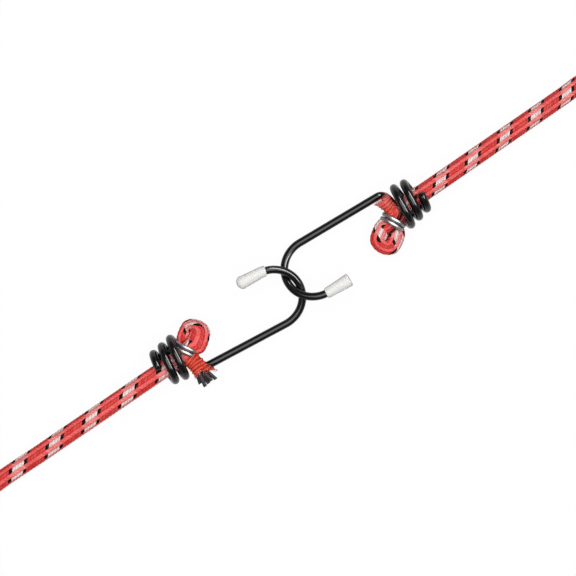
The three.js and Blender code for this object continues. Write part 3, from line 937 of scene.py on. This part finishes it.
RED_DEEP = srgb(220, 56, 52)
# The lighter red: for the threads' random tone, and for the painted sheen on every second wale
RED_BRIGHT = srgb(255, 112, 109)
# Painted shade: the red yarn's colour in the grooves between threads and wales and in pleat valleys
RED_IN_PAINTED_SHADE = srgb(122, 20, 18)
RED_PLEAT = srgb(252, 92, 62)
# Painted shade in the creases, where stretches of the folded cord lie against each other
CREASE_PAINTED_SHADE = srgb(48, 8, 10)
# Painted shade: the white yarn's colour in the grooves between threads and wales
WHITE_IN_PAINTED_SHADE = srgb(160, 104, 102)
WHITE_PINK = srgb(244, 200, 196)
WHITE_PALE = srgb(252, 234, 230)
YARN_BLACK = srgb(11, 7, 10)
WIRE_BLACK = srgb(9, 9, 12)
TIP_WHITE = srgb(234, 233, 230)
CLIP_DARK = srgb(108, 108, 109)
CLIP_BRIGHT = srgb(178, 178, 177)
RUBBER_DARK = srgb(30, 28, 30)
RUBBER_PALE = srgb(58, 54, 56)


class Material:
    """A principled material with short ways to add nodes."""

    def __init__(self, name, **values):
        self.material = bpy.data.materials.new(name)
        self.material.use_nodes = True
        self.tree = self.material.node_tree
        self.shader = self.tree.nodes["Principled BSDF"]
        for socket, value in values.items():
            self.shader.inputs[socket.replace("_", " ")].default_value = value

    def node(self, kind, inputs=(), **settings):
        made = self.tree.nodes.new(kind)
        for key, value in settings.items():
            setattr(made, key, value)
        for key, value in dict(inputs).items():
            self.put(made.inputs[key], value)
        return made

    def put(self, socket, value):
        if isinstance(value, bpy.types.NodeSocket):
            self.tree.links.new(value, socket)
        else:
            socket.default_value = value

    def math(self, operation, a, b=0.0, c=0.0):
        return self.node("ShaderNodeMath", {0: a, 1: b, 2: c}, operation=operation).outputs[0]

    def times(self, a, b):
        return self.math("MULTIPLY", a, b)

    def power(self, a, b):
        return self.math("POWER", a, b)

    def sloped(self, a, slope, base):
        """A value times a slope, plus a base."""
        return self.math("MULTIPLY_ADD", a, slope, base)

    def rest(self, share):
        """What a share leaves of 1."""
        return self.math("SUBTRACT", 1.0, share)

    def off_middle(self, value):
        """How far a value lies from the middle between two whole numbers: 0 there, 1 at them."""
        return self.math("ABSOLUTE", self.sloped(self.math("FRACT", value), 2.0, -1.0))

    def mix(self, share, a, b):
        inputs = {0: share, 6: a, 7: b}
        return self.node("ShaderNodeMix", inputs, data_type="RGBA", clamp_factor=True).outputs[2]

    def vector(self, x, y):
        return self.node("ShaderNodeCombineXYZ", {0: x, 1: y}).outputs[0]

    def noise(self, vector, scale, detail=2.0):
        inputs = {"Vector": vector, "Scale": scale, "Detail": detail}
        return self.node("ShaderNodeTexNoise", inputs).outputs[0]

    def place(self):
        return self.node("ShaderNodeTexCoord").outputs["Object"]

    def layer(self, name):
        """The two values of a mesh's UV layer."""
        pair = self.node("ShaderNodeUVMap", uv_map=name).outputs[0]
        split = self.node("ShaderNodeSeparateXYZ", {0: pair}).outputs
        return split[0], split[1]

    def colour(self, socket):
        self.put(self.shader.inputs["Base Color"], socket)

    def bump(self, height, distance):
        inputs = {"Height": height, "Distance": distance, "Strength": 1.0}
        self.put(self.shader.inputs["Normal"], self.node("ShaderNodeBump", inputs).outputs[0])


def braid_material():
    """Red wales, with white stretches between black threads on every second one. Shade is painted in
    its grooves, pleat valleys and creases, and a sheen is painted on the wales between.
    """
    m = Material("braided_polyester", Roughness=0.5, Specular_IOR_Level=0.06)
    u, v = m.layer("braid")
    wave, pleated = m.layer("pleats")
    painted_crease_shade, _ = m.layer("creases")
    wale = m.math("FLOOR", u)
    odd = m.math("FLOORED_MODULO", wale, 2.0)
    smooth = m.rest(pleated)
    even = m.times(m.rest(odd), smooth)

    # Which threads are black and which are white
    wandering = m.noise(m.vector(m.times(u, DYE_STRETCH), v), DYE_SCALE)
    dyed = m.math("ADD", v, m.sloped(wandering, DYE_RAGGED, -DYE_RAGGED / 2))
    row = m.math("FLOORED_MODULO", m.math("ADD", dyed, wale), float(COLOUR_ROWS))
    first, second = (m.math("ABSOLUTE", m.math("SUBTRACT", row, r + 0.5)) for r in BLACK_ROWS)
    dark = m.math("LESS_THAN", m.math("MINIMUM", first, second), BLACK_REACH)
    pale = m.math("COMPARE", row, sum(BLACK_ROWS) / 2 + 0.5, (BLACK_ROWS[1] - BLACK_ROWS[0]) / 2)

    # How light the braid is, with painted shade in the grooves between its threads, wales and pleats
    staggered = m.sloped(odd, 0.5, v)
    luck_place = m.vector(wale, m.math("FLOOR", staggered))
    luck = m.node("ShaderNodeTexWhiteNoise", {"Vector": luck_place}).outputs[0]
    fine_place = m.vector(m.times(u, FINE_ACROSS), m.times(v, FINE_ALONG))
    fine = m.noise(fine_place, FINE_SCALE, GRAIN_DETAIL)
    # Painted shade in the pleats' valleys
    valley = m.math("ABSOLUTE", m.math("COSINE", m.times(wave, math.pi)))
    valley = m.times(m.power(valley, PLEAT_POWER), pleated)
    # Every second wale is spared part of the groove shade, which paints a sheen on it
    woven = m.times(m.sloped(pleated, PLEAT_SPARED, -1.0), m.sloped(odd, -ODD_SPARED, 1.0))
    grooves = (
        m.sloped(m.power(m.off_middle(staggered), RIB_POWER), m.times(woven, RIB_SHADE), 1.0),
        m.sloped(m.power(m.off_middle(u), WALE_POWER), m.times(woven, WALE_SHADE), 1.0),
        m.sloped(valley, -PLEAT_SHADE, 1.0),
    )
    shade = m.sloped(fine, FINE_SHADE, 1 - FINE_SHADE / 2)
    for groove in grooves:
        shade = m.times(shade, groove)

    # The red is lighter at random by thread, and on every second wale as a painted sheen
    tone = m.sloped(luck, TONE_BY_THREAD, m.times(odd, PAINTED_SHEEN_BY_WALE))
    red = m.mix(m.times(pleated, PLEAT_RED_SHARE), m.mix(tone, RED_DEEP, RED_BRIGHT), RED_PLEAT)
    # The painted shade darkens the red and the white yarns towards their shaded colours
    red = m.mix(shade, RED_IN_PAINTED_SHADE, red)
    white = m.mix(shade, WHITE_IN_PAINTED_SHADE, m.mix(luck, WHITE_PINK, WHITE_PALE))
    speckled = m.sloped(m.times(odd, smooth), SPECKLED_SHARE, even)
    colour = m.mix(m.times(pale, speckled), red, white)
    colour = m.mix(m.times(dark, even), colour, YARN_BLACK)
    # Painted shade in the creases, where the folded cord lies against itself
    creased = m.times(m.power(painted_crease_shade, CREASE_POWER), CREASE_SHADE)
    m.colour(m.mix(creased, colour, CREASE_PAINTED_SHADE))
    m.bump(fine, FINE_BUMP)
    return m.material


def wire_material():
    m = Material("black_coated_wire", Roughness=0.19, Base_Color=WIRE_BLACK, Specular_IOR_Level=0.4)
    scale, depth = WIRE_GRAIN
    m.bump(m.noise(m.place(), scale), depth)
    return m.material


def tip_material():
    m = Material("white_vinyl", Roughness=0.42, Base_Color=TIP_WHITE, Specular_IOR_Level=0.2)
    return m.material


def grain(m, dark, bright, scale, depth):
    """A material's colours and bumps by one noise."""
    tone = m.noise(m.place(), scale, GRAIN_DETAIL)
    m.colour(m.mix(tone, dark, bright))
    m.bump(tone, depth)


def clip_material():
    m = Material("bright_steel", Metallic=1.0, Roughness=0.4)
    grain(m, CLIP_DARK, CLIP_BRIGHT, *CLIP_GRAIN)
    return m.material


def rubber_material():
    m = Material("latex_rubber", Roughness=0.7, Specular_IOR_Level=0.3)
    grain(m, RUBBER_DARK, RUBBER_PALE, *RUBBER_GRAIN)
    return m.material


def floor_material():
    """White for the camera, but still keeping part of the cord's shadow."""
    m = Material("white_surface", Roughness=0.8, Specular_IOR_Level=0.1)
    white = m.node("ShaderNodeEmission", {0: WHITE, 1: 1.0}).outputs[0]
    rays = m.node("ShaderNodeLightPath").outputs
    shown = m.sloped(rays["Is Glossy Ray"], FLOOR_GLOSS_SHARE, rays["Is Camera Ray"])
    m.colour(m.mix(shown, FLOOR_GREY, FLOOR_WHITE))
    share = m.times(shown, FLOOR_WHITE_SHARE)
    mixed = m.node("ShaderNodeMixShader", {0: share, 1: m.shader.outputs[0], 2: white}).outputs[0]
    m.put(m.tree.nodes["Material Output"].inputs[0], mixed)
    return m.material


# The room, the lamps and the camera


def make_floor():
    half = FLOOR_SIZE / 2
    corners = [(-half, -half, 0.0), (half, -half, 0.0), (half, half, 0.0), (-half, half, 0.0)]
    floor = mesh_object("floor", corners, [[0, 1, 2, 3]])
    floor.data.materials.append(floor_material())


def make_world():
    """A grey room, white for the camera and partly white in reflections."""
    world = bpy.data.worlds.new("room")
    bpy.context.scene.world = world
    world.use_nodes = True
    tree = world.node_tree
    dim = tree.nodes["Background"]
    white = tree.nodes.new("ShaderNodeBackground")
    for background, colour in ((dim, ROOM_GREY), (white, WHITE)):
        background.inputs[0].default_value = colour
        background.inputs[1].default_value = 1.0
    rays = tree.nodes.new("ShaderNodeLightPath").outputs
    shown = tree.nodes.new("ShaderNodeMath")
    shown.operation = "MULTIPLY_ADD"
    shown.use_clamp = True
    tree.links.new(rays["Is Glossy Ray"], shown.inputs[0])
    shown.inputs[1].default_value = ROOM_GLOSS_SHARE
    tree.links.new(rays["Is Camera Ray"], shown.inputs[2])
    mix = tree.nodes.new("ShaderNodeMixShader")
    for i, output in enumerate((shown.outputs[0], dim.outputs[0], white.outputs[0])):
        tree.links.new(output, mix.inputs[i])
    tree.links.new(mix.outputs[0], tree.nodes["World Output"].inputs[0])


def make_lamp(name, place, size, power, gloss_only=False):
    """A lamp that faces the middle, with its long side turned as the pull line is."""
    data = bpy.data.lights.new(name, "AREA")
    data.shape = "RECTANGLE"
    data.size, data.size_y = size
    data.energy = power
    lamp = bpy.data.objects.new(name, data)
    lamp.location = place
    back = unit(np.array(place))
    high = rotation("z", PULL_ANGLE) @ np.array((0.0, 1.0, 0.0))
    side = unit(np.cross(high, back))
    axes = Matrix(np.stack([side, np.cross(back, side), back], axis=1).tolist())
    lamp.rotation_euler = axes.to_euler()
    lamp.visible_diffuse = not gloss_only
    bpy.context.scene.collection.objects.link(lamp)


def make_camera():
    data = bpy.data.cameras.new("camera")
    camera = bpy.data.objects.new("camera", data)
    bpy.context.scene.collection.objects.link(camera)
    middle = IMAGE_SIDE / 2
    x = (middle - LINK_PIXEL[0]) * METRES_PER_PIXEL
    y = (LINK_PIXEL[1] - middle) * METRES_PER_PIXEL
    camera.location = (x, y, LINK_HEIGHT + CAMERA_HEIGHT)
    data.sensor_width = SENSOR_MILLIMETRES
    data.lens = SENSOR_MILLIMETRES * CAMERA_HEIGHT / (IMAGE_SIDE * METRES_PER_PIXEL)
    data.clip_end = CAMERA_SIGHT
    bpy.context.scene.camera = camera


# The pieces


def lift_off_floor(mesh):
    """The points of a mesh that lie in the floor, put just above it."""
    places = np.zeros(len(mesh.vertices) * 3, np.float32)
    mesh.vertices.foreach_get("co", places)
    places[2::3] = np.maximum(places[2::3], FLOOR_GAP)
    mesh.vertices.foreach_set("co", places)
    mesh.update()


def dress_free_cord(piece, slot, solids):
    """The free cord gets its material, hides the solids that it replaces, and has its place fixed in
    its points.
    """
    piece.data.materials.append(MATERIALS[slot])
    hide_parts(*[f"{solids}_{section}" for section in SECTIONS])
    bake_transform(piece)


def free_cord():
    """The free cord's sheath and the bundle of strands in it."""
    route = free_route()

    def wale(distance):
        return FIRST_WALE_LEFT + (FIRST_WALE_RIGHT - FIRST_WALE_LEFT) * distance / route.length

    sheath = sheath_object("cord_sheath", route, free_rows(route), wale)
    lift_off_floor(sheath.data)
    dress_free_cord(sheath, "sheath", "sheath")
    core = core_object(route)
    dress_free_cord(core, "rubber", "core")
    path = route.at(np.linspace(0, route.length, PATH_POINTS))[0]


def ride_piece(piece, body, slot, *nodes):
    piece.data.materials.append(MATERIALS[slot])
    if nodes:
        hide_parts(*nodes)
    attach(piece, body)


def knot_pieces(name):
    """The folded end's sheath, its frayed cut edge and the strands inside it. The left route
    begins at its cut end, and the right one ends there."""
    end = ENDS[name]
    route = knot_route(name)
    length = route.length
    left = name == "left"
    cut = 0.0 if left else length
    way = -1 if left else 1

    def from_coil(distance):
        return length - distance if left else distance

    def twisted(distance):
        return np.clip((from_coil(distance) - TWIST_START) / TWIST_LENGTH, 0, 1)

    def rows(distance):
        braided = way * from_coil(distance) / end["row"]
        return end["first_row"] + braided + end["knot_rows"] * twisted(distance)

    def wale(distance):
        return end["first_wale"] + end["knot_turn"] * twisted(distance)

    sheath = sheath_object(f"cord_knot_{name}", route, rows, wale, KNOT_STEPS_PER_ROW, cut, end)
    ride_piece(sheath, "cord_ends", "sheath", f"sheath_knot_{name}")
    ride_piece(frayed_object(name, route, cut, end), "cord_ends", "sheath")
    for i, middle in enumerate(strand_places(), 1):
        bare = end["bare"] * (BARE_LEAST + (1 - BARE_LEAST) * chance.random())
        start, stop = (-bare, length - JOIN_INSET) if left else (JOIN_INSET, length - CUT_INSET)
        strand = strand_object(f"rubber_strand_{i}_{name}", route, middle, start, stop, end["spread"])
        ride_piece(strand, "cord_ends", "rubber", f"strand_{i}_knot_{name}")


def hook_pieces(name):
    end = ENDS[name]
    ride_piece(hook_object(name, end), f"hook_{name}", "wire", f"hook_{name}")
    ride_piece(tip_object(name, end), f"hook_{name}", "tip", f"tip_{name}")
    ride_piece(clip_object(name, end), "cord_ends", "clip", f"clip_{name}")


MATERIALS = {
    "sheath": braid_material(),
    "wire": wire_material(),
    "tip": tip_material(),
    "clip": clip_material(),
    "rubber": rubber_material(),
}
chance = random.Random(7)

bpy.context.scene.view_settings.view_transform = "Standard"
make_camera()
make_world()
make_floor()
for lamp_name, lamp in LAMPS.items():
    make_lamp(lamp_name, **lamp)
free_cord()
for end_name in ENDS:
    knot_pieces(end_name)
    hook_pieces(end_name)
